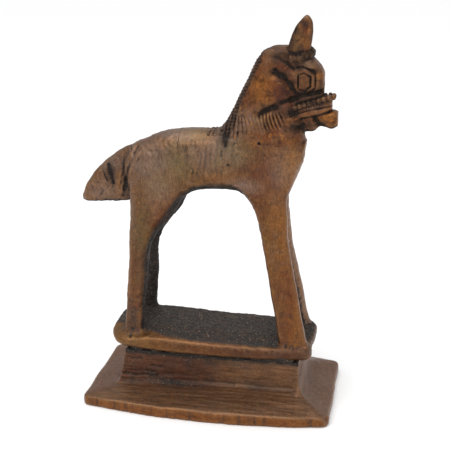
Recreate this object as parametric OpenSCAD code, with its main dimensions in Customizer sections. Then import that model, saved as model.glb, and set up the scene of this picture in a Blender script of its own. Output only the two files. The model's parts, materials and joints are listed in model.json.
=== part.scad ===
/* [Pedestal] */
// Length of the flared base
base_l = 100; // [90:1:110]
// Width of the flared base
base_w = 52; // [44:1:56]
// Height of the base's upright edge
edge_h = 4.5; // [2:0.5:5]
// Height of the top of the sloping faces
slope_top = 8.5; // [7:0.5:10]
// Height of the top of the block
block_top = 21; // [18:0.5:21]
// Length of the block at its foot
block_l = 73; // [66:1:78]
// Width of the block at its foot
block_w = 29; // [24:1:32]

/* [Plinth plate] */
// Length of the plate under the hooves
plate_l = 84; // [80:1:90]
// Width of the plate
plate_w = 31; // [30:1:34]
// Thickness of the plate at the horse's front
plate_t = 5; // [4.5:0.5:6]
// Extra thickness of the plate at the horse's rear
plate_rise = 2; // [0:0.5:3]

/* [Pins] */
// Diameter of each hidden fixing pin
pin_d = 4; // [3:0.5:5]
// Distance of each pin from the middle
pin_x = 20; // [12:1:26]
// Depth that a pin goes into the block and into the plate
pin_depth = 3.5; // [2.5:0.5:4]

/* [Horse] */
// Half the width of the body at the saddle
body_hw = 10.6; // [9.5:0.1:11.5]
// How far the saddle cloth stands proud of the back
cloth_t = 0.6; // [0.4:0.1:1]
// How far the collar stands proud of the neck
collar_t = 0.7; // [0.4:0.1:1]
// Number of notches down the mane
mane_notches = 16; // [10:1:22]
// Half the distance between the middles of the ears
ear_y = 2.9; // [2.6:0.1:3.4]
// Diameter of one bridle bead
bead_d = 2; // [1.6:0.1:2.2]
// How far an eye plaque stands proud of the face
eye_proud = 0.7; // [0.4:0.1:1]

/* [Hidden] */

// Points round each ring of a loft, and round each corner of a rounded rectangle
ring_n = 24;
corner_n = 4;
// Sides of the small balls, and clearance round a pin in its hole
ball_fn = 12;
pin_gap = 0.05;
// The horse stands a little behind the middle of the pedestal
horse_y = 1.5;
bed_t = 1.6;
bed_inset = 3;
plate_z = block_top + bed_t;
plate_x = -1;
base_bow = 5;
foreleg_stagger = 1.3;
skull_x = 28.5;
lip_z = 119.5;
far = 60;

// Bronze tones
bronze = [0.46, 0.31, 0.20];
bronze_pale = [0.60, 0.42, 0.26];
bronze_dark = [0.24, 0.19, 0.17];

// Rounds a cosine or sine so that a superellipse of power p results
function soft(v, p) = sign(v) * pow(abs(v), 2 / p);

// Ring in a level plane: height, rear x, front x, middle y, half width, roundness
function level_ring(z, x0, x1, yc, hw, p) = [
    for (i = [0 : ring_n - 1])
        let (a = 360 * i / ring_n)
        [(x0 + x1) / 2 + (x1 - x0) / 2 * soft(cos(a), p), yc + hw * soft(sin(a), p), z]
];

// Ring in a plane across the horse: x, lowest z, highest z, middle y, half width, roundness
function cross_ring(x, z0, z1, yc, hw, p) = [
    for (i = [0 : ring_n - 1])
        let (a = 360 * i / ring_n)
        [x, yc + hw * soft(cos(a), p), (z0 + z1) / 2 + (z1 - z0) / 2 * soft(sin(a), p)]
];

// Level rectangle with round corners
function slab_ring(z, x0, x1, y0, y1, r) = [
    for (c = [0 : 3])
        for (i = [0 : corner_n])
            let (a = 90 * (c + i / corner_n))
            let (cx = (c == 0 || c == 3) ? x1 - r : x0 + r)
            let (cy = (c < 2) ? y1 - r : y0 + r)
            [cx + r * cos(a), cy + r * sin(a), z]
];

// Base outline: the long edges bow out in the middle
function base_ring(z, hl, hw, bow) =
    let (steps = 10)
    let (edge = [for (i = [0 : steps]) let (u = 1 - 2 * i / steps) [u * hl, hw + bow * (1 - u * u), z]])
    concat(edge, [for (p = edge) [-p.x, -p.y, z]]);

// Closed skin over a stack of rings with the same number of points
module loft(rings) {
    n = len(rings[0]);
    m = len(rings);
    sides = [
        for (j = [0 : m - 2])
            for (i = [0 : n - 1])
                let (k = (i + 1) % n)
                each [[j * n + i, (j + 1) * n + i, j * n + k], [j * n + k, (j + 1) * n + i, (j + 1) * n + k]]
    ];
    polyhedron(
        points = [for (ring = rings) each ring],
        faces = concat(sides, [[for (i = [0 : n - 1]) i]], [[for (i = [n - 1 : -1 : 0]) (m - 1) * n + i]])
    );
}

// Cuts the later children out of the first one, so that neighbours meet face to face
module fitted() {
    resize([0, 0, 0]) difference() {
        children(0);
        children([1 : $children - 1]);
    }
}

// ---- pedestal ----

module flared_base() {
    color(bronze)
        loft([
            base_ring(0, base_l / 2, base_w / 2, base_bow),
            base_ring(edge_h, base_l / 2, base_w / 2, base_bow),
            base_ring(slope_top, block_l / 2 + 1, block_w / 2 + 0.5, base_bow / 4)
        ]);
}

module pins(r, z0, z1) {
    for (side = [-1, 1])
        translate([side * pin_x, horse_y, z0])
            cylinder(r = r, h = z1 - z0, $fn = 48);
}

module pedestal_block() {
    block_taper = 2;
    color(bronze)
        difference() {
            loft([
                slab_ring(slope_top, -block_l / 2, block_l / 2, -block_w / 2, block_w / 2, 0.8),
                slab_ring(block_top, -block_l / 2 + block_taper, block_l / 2, -block_w / 2 + 0.6,
                    block_w / 2 - 0.6, 0.8)
            ]);
            pins(pin_d / 2 + pin_gap, block_top - pin_depth, block_top + 1);
        }
}

module bedding_layer() {
    bed_l = block_l / 2 - bed_inset;
    bed_w = block_w / 2 - bed_inset / 2;
    color(bronze_dark)
        difference() {
            loft([
                slab_ring(block_top, -bed_l, bed_l, -bed_w, bed_w, 2),
                slab_ring(plate_z, -bed_l, bed_l, -bed_w, bed_w, 2)
            ]);
            pins(pin_d / 2 + pin_gap, block_top - 1, plate_z + 1);
        }
}

module fixing_pins() {
    color(bronze_dark)
        pins(pin_d / 2, block_top - pin_depth, plate_z + pin_depth);
}

// Height of the plate's top at x: it falls steadily towards the horse's front
function plate_top(x) = plate_z + plate_t + plate_rise * (plate_l / 2 - (x - plate_x)) / plate_l;

// A slab ring with its points lifted onto the plate's sloping top
function on_plate(ring) = [for (p = ring) [p.x, p.y, plate_top(p.x)]];

module plinth_plate() {
    x0 = plate_x - plate_l / 2;
    x1 = plate_x + plate_l / 2;
    y0 = horse_y - plate_w / 2;
    y1 = horse_y + plate_w / 2;
    corner = 5;
    bevel = 0.8;
    color(bronze)
        difference() {
            loft([
                slab_ring(plate_z, x0 + 2, x1 - bevel, y0 + bevel, y1 - bevel, corner),
                slab_ring(plate_z + 1.6, x0, x1, y0, y1, corner),
                on_plate(slab_ring(0, x0 + bevel, x1 - bevel, y0 + bevel, y1 - bevel, corner))
            ]);
            pins(pin_d / 2 + pin_gap, plate_z - 1, plate_z + pin_depth);
        }
}

// ---- legs: each row is height, rear x, front x, outer y, inner y ----

hindleg_rows = [
    [28, -35.8, -28.6, 14.2, 8.2],
    [36, -35.0, -28.2, 13.7, 7.6],
    [50, -33.6, -27.8, 12.8, 6.4],
    [64, -32.9, -27.2, 11.8, 4.6],
    [72, -32.8, -25.0, 11.3, 3.0],
    [79, -33.0, -20.2, 10.9, 1.6],
    [85, -33.6, -15.6, 10.4, 0.8],
    [92, -33.0, -10.0, 8.0, 0.8]
];

foreleg_rows = [
    [27, 28.6, 39.4, 14.2, 8.0],
    [31, 28.0, 38.6, 14.0, 8.0],
    [42, 26.2, 36.9, 13.2, 7.4],
    [56, 23.8, 33.7, 12.3, 6.2],
    [71, 20.9, 31.0, 11.2, 4.0],
    [80, 18.6, 30.2, 10.6, 2.2],
    [86, 15.6, 29.6, 10.2, 0.8],
    [93, 11.0, 30.4, 8.0, 0.8]
];

// One leg: side is -1 for the horse's right and 1 for its left, back moves it towards the tail
module leg_solid(rows, side, back = 0) {
    roundness = 3.2;
    rings = [
        for (r = rows)
            let (yc = horse_y + side * (r[3] + r[4]) / 2)
            level_ring(r[0], r[1] - back, r[2] - back, yc, (r[3] - r[4]) / 2, roundness)
    ];
    foot = [for (p = rings[0]) [p.x, p.y, plate_top(p.x)]];
    loft(concat([foot], [for (i = [1 : len(rings) - 1]) rings[i]]));
}

module leg(rows, side, back = 0) {
    color(bronze)
        fitted() {
            leg_solid(rows, side, back);
            torso_solid(0);
        }
}

module hindleg_right() {
    leg(hindleg_rows, -1);
}

module hindleg_left() {
    leg(hindleg_rows, 1);
}

module foreleg_right() {
    leg(foreleg_rows, -1);
}

module foreleg_left() {
    leg(foreleg_rows, 1, foreleg_stagger);
}

// ---- body: each row is x, lowest z, highest z, half width as a share of the body's ----

torso_rows = [
    [-36.2, 90.0, 100.8, 0.55],
    [-34.4, 86.0, 103.6, 0.76],
    [-28.7, 82.5, 107.0, 0.92],
    [-22.6, 82.0, 109.5, 0.98],
    [-14.4, 84.5, 111.3, 1.00],
    [-6.4, 87.0, 111.8, 0.99],
    [2.4, 88.0, 111.9, 0.98],
    [10.0, 87.0, 112.1, 0.96],
    [17.0, 84.0, 112.4, 0.95],
    [24.0, 84.5, 112.4, 0.92],
    [29.0, 89.0, 111.8, 0.84],
    [32.4, 95.0, 110.5, 0.68],
    [34.2, 100.5, 108.0, 0.45]
];

module torso_solid(proud) {
    loft([
        for (r = torso_rows)
            cross_ring(r[0], r[1] - proud, r[2] + proud, horse_y, r[3] * body_hw + proud, 2.5)
    ]);
}

module torso() {
    color(bronze)
        torso_solid(0);
}

module saddle_cloth() {
    cloth_x0 = -15;
    cloth_x1 = 4;
    cloth_z = 95;
    color(bronze_pale)
        fitted() {
            intersection() {
                torso_solid(cloth_t);
                translate([cloth_x0, horse_y - far / 2, cloth_z])
                    cube([cloth_x1 - cloth_x0, far, far]);
            }
            torso_solid(0);
            neck_solid(0);
            mane_solid();
        }
}

module tail() {
    tail_rows = [
        [-55.3, 80.1, 81.4, 1.6],
        [-54.6, 80.2, 83.8, 2.1],
        [-51.4, 80.5, 89.9, 2.8],
        [-45.7, 80.7, 96.5, 3.6],
        [-39.2, 80.9, 101.8, 4.3],
        [-35.5, 81.4, 104.0, 4.8],
        [-32.0, 83.0, 104.6, 5.0]
    ];
    color(bronze)
        fitted() {
            loft([for (r = tail_rows) cross_ring(r[0], r[1], r[2], horse_y, r[3], 3)]);
            torso_solid(0);
            leg_solid(hindleg_rows, -1);
            leg_solid(hindleg_rows, 1);
        }
}

// ---- neck: each row is height, rear x, front x, half width ----

neck_rows = [
    [104, 7.0, 34.0, 6.5],
    [108, 4.0, 34.6, 8.2],
    [112, 2.4, 34.9, 8.6],
    [117, 5.0, 34.2, 8.5],
    [121, 7.2, 33.0, 8.2],
    [126, 9.6, 32.0, 8.0],
    [131, 12.0, 31.0, 7.8],
    [137, 14.8, 30.5, 7.2],
    [141, 17.0, 30.5, 6.4],
    [143.6, 19.4, 30.2, 4.6],
    [144.9, 22.4, 29.4, 2.2]
];

module neck_solid(proud) {
    loft([for (r = neck_rows) level_ring(r[0], r[1] - proud, r[2] + proud, horse_y, r[3] + proud, 2.4)]);
}

// The space in front of the neck that belongs to the skull
module skull_zone() {
    translate([skull_x, horse_y - far / 2, lip_z])
        cube([far, far, far]);
}

module neck() {
    color(bronze)
        fitted() {
            neck_solid(0);
            torso_solid(0);
            skull_zone();
        }
}

module neck_collar() {
    collar_z0 = 112.9;
    collar_z1 = 117.8;
    color(bronze_pale)
        fitted() {
            intersection() {
                neck_solid(collar_t);
                translate([-far, horse_y - far / 2, collar_z0])
                    cube([2 * far, far, collar_z1 - collar_z0]);
            }
            neck_solid(0);
            torso_solid(0);
            mane_solid();
        }
}

// The mane's crest runs along a bent line from the withers to the poll
mane_line = [[0.6, 111.4], [2.0, 115.6], [6.0, 121.8], [10.4, 130.6], [14.2, 138.6], [17.2, 143.4], [20.8, 145.6]];

// Point on the mane's line at t from 0 to 1
function mane_at(t) =
    let (s = min(t, 0.9999) * (len(mane_line) - 1))
    let (i = floor(s))
    mane_line[i] + (s - i) * (mane_line[i + 1] - mane_line[i]);

module mane_solid() {
    steps = mane_notches * 2;
    notch = 0.5;
    half_w = 1.5;
    root = 3;
    rings = [
        for (j = [0 : steps])
            let (p = mane_at(j / steps))
            let (crest = (j % 2 == 0) ? -notch : 0)
            let (q = p + [-0.86, 0.5] * crest)
            let (r = p + [0.86, -0.5] * root)
            [
                [r[0], horse_y + half_w, r[1]], [q[0] + 0.4, horse_y + half_w, q[1] - 0.2],
                [q[0], horse_y, q[1]], [q[0] + 0.4, horse_y - half_w, q[1] - 0.2],
                [r[0], horse_y - half_w, r[1]]
            ]
    ];
    loft(rings);
}

module mane() {
    color(bronze_dark)
        fitted() {
            mane_solid();
            neck_solid(0);
            torso_solid(0);
        }
}

// ---- head: each row is height, front x, half width ----

head_rows = [
    [119.5, 43.0, 4.2],
    [122.2, 44.8, 4.7],
    [125.0, 44.7, 4.9],
    [126.9, 42.0, 5.4],
    [131.5, 41.6, 6.2],
    [136.4, 41.3, 6.4],
    [139.9, 38.3, 6.1],
    [142.2, 35.8, 5.2],
    [144.0, 33.6, 3.4]
];

module head_solid() {
    difference() {
        loft([for (r = head_rows) level_ring(r[0], 14, r[1], horse_y, r[2], 3)]);
        translate([skull_x - far, -far / 2, lip_z - 1])
            cube([far, far, far]);
        mouth_gap();
    }
}

// The open mouth: a wedge that widens towards the lips
module mouth_gap() {
    translate([0, horse_y + far / 2, 0])
        rotate([90, 0, 0])
            linear_extrude(height = far)
                polygon([[34, lip_z - 1], [far, lip_z - 1], [far, lip_z + 7], [45, 123.2], [36.5, 120.8]]);
}

module head() {
    color(bronze)
        resize([0, 0, 0])
            head_solid();
}

module jaw_solid() {
    jaw_rows = [
        [31.6, 112.0, 117.6, 3.5],
        [35.6, 112.7, 118.0, 3.6],
        [39.0, 113.4, 118.6, 3.6],
        [40.8, 115.0, 119.8, 3.7],
        [42.8, 115.3, 120.8, 3.7],
        [45.9, 114.6, 121.4, 3.5],
        [47.2, 115.8, 120.8, 3.0]
    ];
    loft([for (r = jaw_rows) cross_ring(r[0], r[1], r[2], horse_y, r[3], 4)]);
}

module lower_jaw() {
    color(bronze_pale)
        fitted() {
            jaw_solid();
            neck_solid(collar_t);
            head_solid();
            torso_solid(0);
        }
}

// A string of beads down one cheek, round the nose and back along the other cheek
module bridle_band() {
    muzzle_r = 4.9;
    turn_x = 39.8;
    side_beads = 6;
    nose_beads = 8;
    pitch = 1.9;
    rise = 0.27;
    base_z = 123.6;
    color(bronze_pale)
        fitted() {
            union() {
                for (side = [-1, 1])
                    for (i = [0 : side_beads - 1])
                        bead([turn_x - i * pitch, side * muzzle_r], base_z - i * pitch * rise);
                for (i = [1 : nose_beads - 1])
                    let (a = -90 + 180 * i / nose_beads)
                    bead([turn_x + muzzle_r * cos(a), muzzle_r * sin(a)], base_z + muzzle_r * cos(a) * rise);
            }
            head_solid();
        }
}

module bead(xy, z) {
    translate([xy[0], horse_y + xy[1], z])
        scale([1.1, 1.1, 1])
            sphere(d = bead_d, $fn = ball_fn);
}

module eye(side) {
    outline = [[32.2, 136.4], [38.2, 136.2], [38.6, 131.6], [36.6, 129.0], [32.2, 130.4]];
    middle = [35.4, 132.9];
    groove = [0.62, 0.78];
    root_y = 4.5;
    face_y = 6.35 + eye_proud;
    color(bronze_pale)
        fitted() {
            translate([0, horse_y + side * (root_y + face_y) / 2, 0])
                rotate([90, 0, 0])
                    linear_extrude(height = face_y - root_y, center = true)
                        polygon(outline);
            head_solid();
            translate([middle[0], horse_y + side * (face_y + 0.6), middle[1]])
                rotate([90, 0, 0])
                    linear_extrude(height = 2, center = true)
                        difference() {
                            polygon([for (p = outline) (p - middle) * groove[1]]);
                            polygon([for (p = outline) (p - middle) * groove[0]]);
                        }
        }
}

module eye_right() {
    eye(-1);
}

module eye_left() {
    eye(1);
}

module ear_solid(side) {
    ear_rows = [
        [141.0, 29.2, 35.0, 1.9],
        [144.4, 27.9, 35.9, 2.0],
        [148.8, 29.4, 36.2, 1.8],
        [152.4, 31.0, 36.2, 1.4],
        [155.0, 32.8, 35.6, 0.9],
        [156.2, 33.8, 34.9, 0.5]
    ];
    loft([for (r = ear_rows) level_ring(r[0], r[1], r[2], horse_y + side * ear_y, r[3], 2.2)]);
}

module ear(side) {
    color(bronze_pale)
        fitted() {
            ear_solid(side);
            head_solid();
            neck_solid(0);
        }
}

module ear_right() {
    ear(-1);
}

module ear_left() {
    ear(1);
}

// A lumpy roll that wraps round the front of the ears
module forelock() {
    lumps = 8;
    lump_d = 3.4;
    color(bronze)
        fitted() {
            union() {
                for (i = [0 : lumps])
                    let (a = -100 + 200 * i / lumps)
                    translate([31.2 + 4.8 * cos(a), horse_y + 5.4 * sin(a), 141.4 + 1.4 * cos(a)])
                        sphere(d = lump_d, $fn = ball_fn);
            }
            head_solid();
            neck_solid(0);
            ear_solid(-1);
            ear_solid(1);
        }
}

flared_base();
pedestal_block();
bedding_layer();
fixing_pins();
plinth_plate();
hindleg_right();
hindleg_left();
foreleg_right();
foreleg_left();
torso();
tail();
saddle_cloth();
neck();
neck_collar();
mane();
head();
lower_jaw();
bridle_band();
eye_right();
eye_left();
ear_right();
ear_left();
forelock();
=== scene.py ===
import json
import math

import bpy
import numpy as np
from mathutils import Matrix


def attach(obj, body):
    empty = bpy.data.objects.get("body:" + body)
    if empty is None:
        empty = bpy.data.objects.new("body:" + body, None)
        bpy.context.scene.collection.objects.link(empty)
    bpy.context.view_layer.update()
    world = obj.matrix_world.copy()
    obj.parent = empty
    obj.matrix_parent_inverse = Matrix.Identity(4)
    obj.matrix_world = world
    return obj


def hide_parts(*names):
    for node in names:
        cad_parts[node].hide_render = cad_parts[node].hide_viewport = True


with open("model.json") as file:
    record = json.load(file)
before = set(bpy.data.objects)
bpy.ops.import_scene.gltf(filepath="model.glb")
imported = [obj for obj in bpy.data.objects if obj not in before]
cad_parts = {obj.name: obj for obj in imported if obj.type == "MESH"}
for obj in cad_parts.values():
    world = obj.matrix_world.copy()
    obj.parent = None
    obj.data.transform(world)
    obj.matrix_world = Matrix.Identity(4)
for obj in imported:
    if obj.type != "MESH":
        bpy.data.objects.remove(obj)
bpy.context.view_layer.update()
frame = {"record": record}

import openvdb
from mathutils import Vector

# The bronze is sculpted as one distance field in millimetres, negative inside the metal, and each
# piece is the part of that field that belongs to it. Millimetres become metres when a mesh is made.
MM = 0.001
# Middle of the horse, which stands a little to one side on its pedestal
HORSE_Y = 1.5
# How far each piece reaches past the seam, into its neighbour
OVERLAP = 0.3


# ---- camera

def make_camera():
    azimuth, elevation, distance = math.radians(11.07), math.radians(18.93), 0.4054
    target = Vector((0, 0, 0.070))
    back = Vector((
        math.sin(azimuth) * math.cos(elevation),
        -math.cos(azimuth) * math.cos(elevation),
        math.sin(elevation),
    ))
    data = bpy.data.cameras.new("camera")
    data.lens, data.sensor_width = 80.24, 36
    data.shift_x, data.shift_y = 0.0200, 0.0138
    data.clip_start, data.clip_end = 0.01, 20
    camera = bpy.data.objects.new("camera", data)
    camera.location = target + back * distance
    camera.rotation_euler = back.to_track_quat("Z", "Y").to_euler()
    bpy.context.collection.objects.link(camera)
    bpy.context.scene.camera = camera


make_camera()


# ---- field tools

class Grid:
    """Sample points in a box, on whole multiples of the pitch, in millimetres"""

    def __init__(self, low, high, pitch):
        self.pitch = pitch
        self.first = np.floor(np.array(low) / pitch).astype(int)
        last = np.ceil(np.array(high) / pitch).astype(int)
        axes = [(np.arange(a, b + 1) * pitch).astype(np.float32) for a, b in zip(self.first, last)]
        self.axes = axes
        self.x = axes[0][:, None, None]
        self.y = axes[1][None, :, None]
        self.z = axes[2][None, None, :]
        # How far to the left of the horse's middle
        self.out = self.y - HORSE_Y
        self.shape = tuple(len(a) for a in axes)

    def reaches(self, low, high, margin):
        """Whether the grid comes within the margin of a box"""
        return all(
            axis[0] <= b + margin and axis[-1] >= a - margin
            for axis, a, b in zip(self.axes, low, high)
        )

    def sample(self, field, points):
        """The field's value at each point, read between the grid's samples"""
        at = points / self.pitch - self.first
        at = np.clip(at, 0, np.array(self.shape) - 1.001)
        i = at.astype(int)
        f = (at - i).astype(np.float32)
        total = 0
        for corner in range(8):
            c = [(corner >> k) & 1 for k in range(3)]
            weight = np.prod([f[:, k] if c[k] else 1 - f[:, k] for k in range(3)], axis=0)
            total = total + weight * field[i[:, 0] + c[0], i[:, 1] + c[1], i[:, 2] + c[2]]
        return total


def join(a, b, blend):
    """Union of two fields with a fillet"""
    h = np.clip(0.5 + 0.5 * (b - a) / blend, 0, 1)
    return b + (a - b) * h - blend * h * (1 - h)


def cut(a, b, blend):
    """The first field with the second carved out of it"""
    return -join(-a, b, blend)


def meet(a, b, blend):
    """What two fields share, with a rounded edge"""
    return -join(-a, -b, blend)


def ramp(v, low, high):
    """0 below low, 1 above high, smooth between"""
    t = np.clip((v - low) / (high - low), 0, 1)
    return t * t * (3 - 2 * t)


def bell(v, width):
    """A soft bump, 1 where v is 0"""
    return np.exp(-(v / width) ** 2)


def curve(rows, t):
    """Smooth curves through the rows, whose first column is where and the rest are values"""
    rows = np.array(rows, float)
    at, values = rows[:, 0], rows[:, 1:]
    slope = np.gradient(values, at, axis=0)
    place = np.clip(np.asarray(t, float).ravel(), at[0], at[-1])
    i = np.clip(np.searchsorted(at, place) - 1, 0, len(at) - 2)
    span = (at[i + 1] - at[i])[:, None]
    u = (place - at[i])[:, None] / span
    a, b = values[i], values[i + 1]
    m, n = slope[i] * span, slope[i + 1] * span
    out = (2 * u**3 - 3 * u**2 + 1) * a + (u**3 - 2 * u**2 + u) * m + (3 * u**2 - 2 * u**3) * b
    out = (out + (u**3 - u**2) * n).astype(np.float32)
    return [column.reshape(np.shape(t)) for column in out.T]


def between(v, low, high):
    """Distance outside a slab from low to high"""
    return np.maximum(v - high, low - v)


def section(u, v, half_u, half_v, power):
    """Distance to a superellipse, measured towards its middle"""
    q = ((np.abs(u) / half_u) ** power + (np.abs(v) / half_v) ** power) ** (1 / power)
    q = np.maximum(q, 0.02)
    return np.sqrt(u * u + v * v + 1e-6) * (1 - 1 / q)


def loft_up(g, rows, power, mid=0):
    """Level sections round a middle y; a row is height, rear x, front x, half width"""
    x0, x1, half = curve(rows, g.z)
    body = section(g.x - (x0 + x1) / 2, g.out - mid, (x1 - x0) / 2, half, power)
    return np.maximum(body, between(g.z, rows[0][0], rows[-1][0]))


def loft_along(g, rows, power=2.5):
    """Sections across the horse; a row is x, lowest z, highest z, half width"""
    z0, z1, half = curve(rows, g.x)
    body = section(g.z - (z0 + z1) / 2, g.out, (z1 - z0) / 2, half, power)
    return np.maximum(body, between(g.x, rows[0][0], rows[-1][0]))


def ellipsoid(g, middle, radii):
    """The middle's y is counted from the horse's middle"""
    u = (g.x - middle[0]) / radii[0]
    v = (g.out - middle[1]) / radii[1]
    w = (g.z - middle[2]) / radii[2]
    return (np.sqrt(u * u + v * v + w * w) - 1) * min(radii)


def track(g, points):
    """Distance from a line seen from the side, how far along it, and which side of it (above is +)"""
    best = np.full((len(g.axes[0]), 1, len(g.axes[2])), 1e3, np.float32)
    along, side = np.zeros_like(best), np.zeros_like(best)
    done = 0
    for (ax, az), (bx, bz) in zip(points, points[1:]):
        length = math.hypot(bx - ax, bz - az)
        tx, tz = (bx - ax) / length, (bz - az) / length
        s = np.clip((g.x - ax) * tx + (g.z - az) * tz, 0, length)
        d = np.hypot(g.x - ax - s * tx, g.z - az - s * tz)
        near = d < best
        best = np.where(near, d, best)
        along = np.where(near, done + s, along)
        side = np.where(near, tx * (g.z - az) - tz * (g.x - ax), side)
        done += length
    return best, along, side


# Random values on a coarse lattice over the whole statue, for relief that runs on from piece to piece
LATTICE_LOW = np.array([-62.0, -34.0, -6.0])
LATTICE_SPAN = np.array([118.0, 68.0, 172.0])
lattices = {}


def noise(g, cell, seed, stretch=(1, 1, 1)):
    """Smooth random relief of about -1 to 1, with bumps about two cells wide"""
    cells = np.array(stretch) * cell
    key = (cell, seed, stretch)
    if key not in lattices:
        size = np.ceil(LATTICE_SPAN / cells).astype(int) + 4
        lattices[key] = np.random.default_rng(seed).uniform(-1, 1, size).astype(np.float32)
    field = lattices[key]
    for axis in range(3):
        at = (g.axes[axis] - LATTICE_LOW[axis]) / cells[axis] + 1
        i = np.floor(at).astype(int)
        f = at - i
        first, last = i[0] - 1, i[-1] + 3
        weights = np.zeros((len(at), last - first), np.float32)
        row = np.arange(len(at))
        for k, w in enumerate((
            (1 - f) ** 3 / 6,
            (3 * f**3 - 6 * f**2 + 4) / 6,
            (-3 * f**3 + 3 * f**2 + 3 * f + 1) / 6,
            f**3 / 6,
        )):
            weights[row, i - 1 + k - first] = w
        part = np.take(field, np.arange(first, last), axis=axis, mode="clip")
        field = np.moveaxis(np.tensordot(weights, part, axes=(1, axis)), 0, axis)
    return field * 2.2


def blurred(field, cells):
    """Box blur over cells to each side, done twice on each axis"""
    for axis in range(3):
        for _ in range(2):
            n = field.shape[axis]
            pad = [(0, 0)] * 3
            pad[axis] = (cells + 1, cells)
            total = np.cumsum(np.pad(field, pad, mode="edge"), axis=axis, dtype=np.float64)
            high = np.take(total, np.arange(2 * cells + 1, n + 2 * cells + 1), axis=axis)
            low = np.take(total, np.arange(0, n), axis=axis)
            field = ((high - low) / (2 * cells + 1)).astype(np.float32)
    return field


# ---- the masses

# Rows for loft_along (torso, muzzle, jaw, tail) and loft_up (neck, skull, ear)
TORSO = [
    (-37.2, 92.5, 98.5, 3), (-36.2, 89.5, 101, 6), (-34.4, 86, 103.6, 8.1),
    (-28.7, 82.5, 107, 9.8), (-22.6, 82, 109.6, 10.4), (-14.4, 84.6, 111.3, 10.6),
    (-6.4, 87.2, 111.9, 10.5), (2.4, 88.2, 112, 10.4), (10, 87.2, 112.2, 10.2),
    (17, 84, 112.4, 10.1), (24, 84.5, 112.4, 9.8), (29, 89, 111.8, 9),
    (32.4, 95, 110.5, 7.2), (34.4, 100.5, 108, 4.4),
]
NECK = [
    (104, 7, 33.6, 6.5), (108, 4, 34.6, 8.2), (112, 2.4, 34.9, 8.6),
    (117, 4.6, 34.2, 8.5), (121, 6.8, 32.8, 8.2), (126, 9, 31.8, 8),
    (131, 11.4, 31.2, 7.8), (137, 14.2, 30.8, 7.2), (141, 16.4, 30.8, 6.2),
    (143.6, 18.8, 30.6, 4.6), (145, 22, 29.6, 2.2),
]
SKULL = [
    (122, 22, 41, 3.8), (125, 22, 41.8, 4.4), (127.4, 22, 41.7, 5),
    (131.5, 22, 41.7, 5.9), (136.4, 22, 41.2, 6.3), (139.9, 22, 38.4, 6),
    (142.2, 22, 36, 5.1), (144.2, 22, 33.4, 3.2),
]
MUZZLE = [
    (22, 116.4, 121.8, 4.2), (28, 117.4, 123.2, 4.7), (34, 117.8, 124.8, 4.8),
    (40, 119.2, 126.4, 4.7), (43, 120.4, 127, 4.3), (44.9, 121.4, 126.6, 3),
]
JAW = [
    (31, 112.2, 118.4, 3.4), (35.6, 112.8, 119.2, 3.6), (38.6, 113.4, 119.8, 3.7),
    (40.2, 114.8, 120.2, 3.6), (42.6, 114.8, 120.6, 3.7), (45.6, 114.4, 121.3, 3.6),
    (47.2, 115.4, 120.8, 3),
]
TAIL = [
    (-55.6, 79.9, 82.6, 1.2), (-54.6, 79.5, 85.4, 2), (-51.4, 79.6, 90.8, 2.8),
    (-45.7, 79.9, 96.9, 3.6), (-39.2, 80.2, 101.8, 4.3), (-35.5, 81, 103.8, 4.8),
    (-32, 83, 104.4, 5),
]
# Height, rear x, front x, and how far the outer and the inner face are from the horse's middle
HINDLEG = [
    (24, -37.6, -28.4, 14.3, 8), (28, -36.9, -29, 14.2, 8), (36, -35.9, -29, 13.7, 7.6),
    (50, -34.7, -28.9, 12.8, 6.4), (64, -34.1, -27.7, 11.8, 4.6), (72, -34, -25, 11.3, 3),
    (79, -34, -20.8, 10.9, 1.6), (85, -33.8, -16.4, 10.2, 0.8), (92, -32.6, -11, 8, 0.8),
    (98, -30, -14, 5.4, 0.8),
]
FORELEG = [
    (23, 27.6, 40.6, 14.2, 7.8), (27, 27.8, 39.7, 14.2, 7.8), (31, 27.4, 38.4, 14, 7.8),
    (42, 25.6, 36.4, 13.2, 7.4), (56, 22.9, 33.3, 12.3, 6.2), (71, 19.8, 30.5, 11.2, 4),
    (80, 17.8, 30, 10.6, 2.2), (86, 15.2, 29.6, 10, 0.8), (93, 12, 30, 8, 0.8),
    (99, 14, 29, 5.4, 0.8),
]
# How much further back the left legs stand than the right ones
FORELEG_STAGGER, HINDLEG_STAGGER = 1.3, -0.7
EAR = [
    (140, 28.6, 35, 2), (144.4, 27.9, 36, 1.9), (148.8, 28.9, 36.7, 1.6),
    (152.4, 30.3, 36.9, 1.3), (154.8, 32, 36.4, 1), (156, 33, 35.6, 0.8),
    (156.6, 33.8, 34.9, 0.5),
]
EAR_Y = 2.9
# Lines seen from the side: down the crest of the neck, and along the row of beads
NAPE = [(0.4, 111), (2, 115.6), (6, 121.8), (10.4, 130.6), (14, 138.6), (17, 143.2), (20.6, 145.4)]
BEAD_LINE = [(31, 122.4), (35.2, 124), (38.9, 125.2), (42.6, 126.3), (44.6, 126.6)]


def leg(g, rows, side, back=0, tuck=0):
    """A flat outer face and a rounded inner one; back shifts it, tuck moves its foot inwards"""
    x0, x1, outer, inner = curve(rows, g.z)
    v = side * g.out - (outer + inner) / 2 + tuck * (1 - ramp(g.z, 26, 52))
    depth = np.clip((outer - inner) / 2 - v, 0, 8)
    if rows is HINDLEG:
        widen = (0.17 + 0.25 * bell(g.z - 77, 8)) * ramp(g.z, 30, 50)
        lean = widen + 0.08 * ramp(g.z, 30, 50)
    else:
        lean, widen = -0.12 * ramp(g.z, 30, 50), 0
    u = g.x + back - (x0 + x1) / 2 - lean * depth
    half = (x1 - x0) / 2 + widen * depth
    outside = section(u, v, half, (outer - inner) / 2, 4)
    inside = section(u, v, half, (outer - inner) / 2, 2)
    body = np.where(v > 0, outside, inside)
    return np.maximum(body, between(g.z, rows[0][0], rows[-1][0]))


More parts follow.
